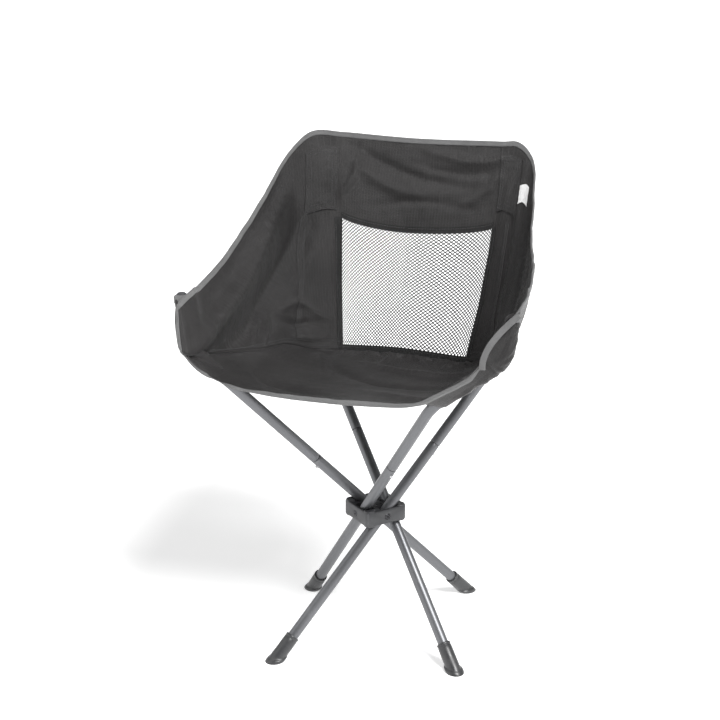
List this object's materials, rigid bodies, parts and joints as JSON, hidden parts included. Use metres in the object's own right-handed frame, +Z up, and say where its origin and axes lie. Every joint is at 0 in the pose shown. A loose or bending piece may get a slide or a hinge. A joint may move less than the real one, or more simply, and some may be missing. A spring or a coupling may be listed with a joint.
{
  "type": "folding camp chair",
  "caption": "Folding camp chair: crossed tube legs through a central plastic hub, bent poles, and a fabric bucket seat with a mesh back window.",
  "frame": {"origin": "middle of the bounding box at floor level", "axes": "+Z up, -Y towards the sitter's front, +X to the right as seen from the front"},
  "size_m": [0.4772, 0.4734, 0.7208],
  "materials": {
    "hub_plastic": "moulded, satin",
    "steel": "zinc plated",
    "tube_coating": "metallic powder coat, satin",
    "foot_rubber": "matt",
    "mesh": "open knitted net",
    "tape": "grosgrain tape",
    "label": "woven satin",
    "cloth": "ripstop weave"
  },
  "bodies": {
    "frame_hub": {"hub": "hub_plastic", "front_left_pivot_bolt": "steel", "front_left_pivot_nut": "steel", "front_right_pivot_bolt": "steel", "front_right_pivot_nut": "steel", "back_left_pivot_bolt": "steel", "back_left_pivot_nut": "steel", "back_right_pivot_bolt": "steel", "back_right_pivot_nut": "steel", "seat_panel": "cloth", "left_wing": "cloth", "right_wing": "cloth", "back_top_panel": "cloth", "mesh_window": "mesh", "rim_binding": "tape", "front_binding": "tape", "left_pocket_patch": "cloth", "right_pocket_patch": "cloth", "woven_label": "label"},
    "front_left_leg_assembly": {"front_left_leg": "tube_coating", "front_left_foot": "foot_rubber", "front_left_ferrule": "steel", "front_left_pole": "tube_coating", "front_left_end_cap": "hub_plastic", "front_left_snap_spring": "steel", "front_left_corner_sleeve": "cloth"},
    "front_left_button": {"front_left_snap_button": "steel"},
    "front_right_leg_assembly": {"front_right_leg": "tube_coating", "front_right_foot": "foot_rubber", "front_right_ferrule": "steel", "front_right_pole": "tube_coating", "front_right_end_cap": "hub_plastic", "front_right_snap_spring": "steel", "front_right_corner_sleeve": "cloth"},
    "front_right_button": {"front_right_snap_button": "steel"},
    "back_left_leg_assembly": {"back_left_leg": "tube_coating", "back_left_foot": "foot_rubber", "back_left_ferrule": "steel", "back_left_pole": "tube_coating", "back_left_end_cap": "hub_plastic", "back_left_snap_spring": "steel", "back_left_pocket": "cloth"},
    "back_left_button": {"back_left_snap_button": "steel"},
    "back_right_leg_assembly": {"back_right_leg": "tube_coating", "back_right_foot": "foot_rubber", "back_right_ferrule": "steel", "back_right_pole": "tube_coating", "back_right_end_cap": "hub_plastic", "back_right_snap_spring": "steel", "back_right_pocket": "cloth"},
    "back_right_button": {"back_right_snap_button": "steel"}
  },
  "joints": [
    {"name": "front_left_fold", "type": "hinge", "parent": "frame_hub", "child": "front_left_leg_assembly", "pos_m": [-0.01555, -0.01974, 0.194], "axis": [-0.7071, 0.7071, 0], "range_deg": [0, 18], "deforming": ["seat_panel", "left_wing", "right_wing", "back_top_panel", "mesh_window", "rim_binding", "front_binding", "left_pocket_patch", "right_pocket_patch", "woven_label"]},
    {"name": "front_right_fold", "type": "hinge", "parent": "frame_hub", "child": "front_right_leg_assembly", "pos_m": [-0.01555, -0.05085, 0.194], "axis": [-0.7071, -0.7071, 0], "range_deg": [0, 18]},
    {"name": "back_left_fold", "type": "hinge", "parent": "frame_hub", "child": "back_left_leg_assembly", "pos_m": [0.01557, -0.01974, 0.194], "axis": [0.7071, 0.7071, 0], "range_deg": [0, 18]},
    {"name": "back_right_fold", "type": "hinge", "parent": "frame_hub", "child": "back_right_leg_assembly", "pos_m": [0.01557, -0.05085, 0.194], "axis": [0.7071, -0.7071, 0], "range_deg": [0, 18]},
    {"name": "front_left_snap_press", "type": "slide", "parent": "front_left_leg_assembly", "child": "front_left_button", "axis": [0.5087, 0.5087, 0.6947], "range_m": [0, 0.003], "stiffness_N_per_m": 300, "springref_m": -0.003, "deforming": ["front_left_snap_spring"]},
    {"name": "front_right_snap_press", "type": "slide", "parent": "front_right_leg_assembly", "child": "front_right_button", "axis": [-0.5495, 0.5495, 0.6293], "range_m": [0, 0.003], "stiffness_N_per_m": 300, "springref_m": -0.003, "deforming": ["front_right_snap_spring"]},
    {"name": "back_left_snap_press", "type": "slide", "parent": "back_left_leg_assembly", "child": "back_left_button", "axis": [0.5087, -0.5087, 0.6947], "range_m": [0, 0.003], "stiffness_N_per_m": 300, "springref_m": -0.003, "deforming": ["back_left_snap_spring"]},
    {"name": "back_right_snap_press", "type": "slide", "parent": "back_right_leg_assembly", "child": "back_right_button", "axis": [-0.5087, -0.5087, 0.6947], "range_m": [0, 0.003], "stiffness_N_per_m": 300, "springref_m": -0.003, "deforming": ["back_right_snap_spring"]}
  ],
  "couplings": [
    {"joint": "front_right_fold", "follows": "front_left_fold", "ratio": 1},
    {"joint": "back_left_fold", "follows": "front_left_fold", "ratio": 1},
    {"joint": "back_right_fold", "follows": "front_left_fold", "ratio": 1}
  ]
}
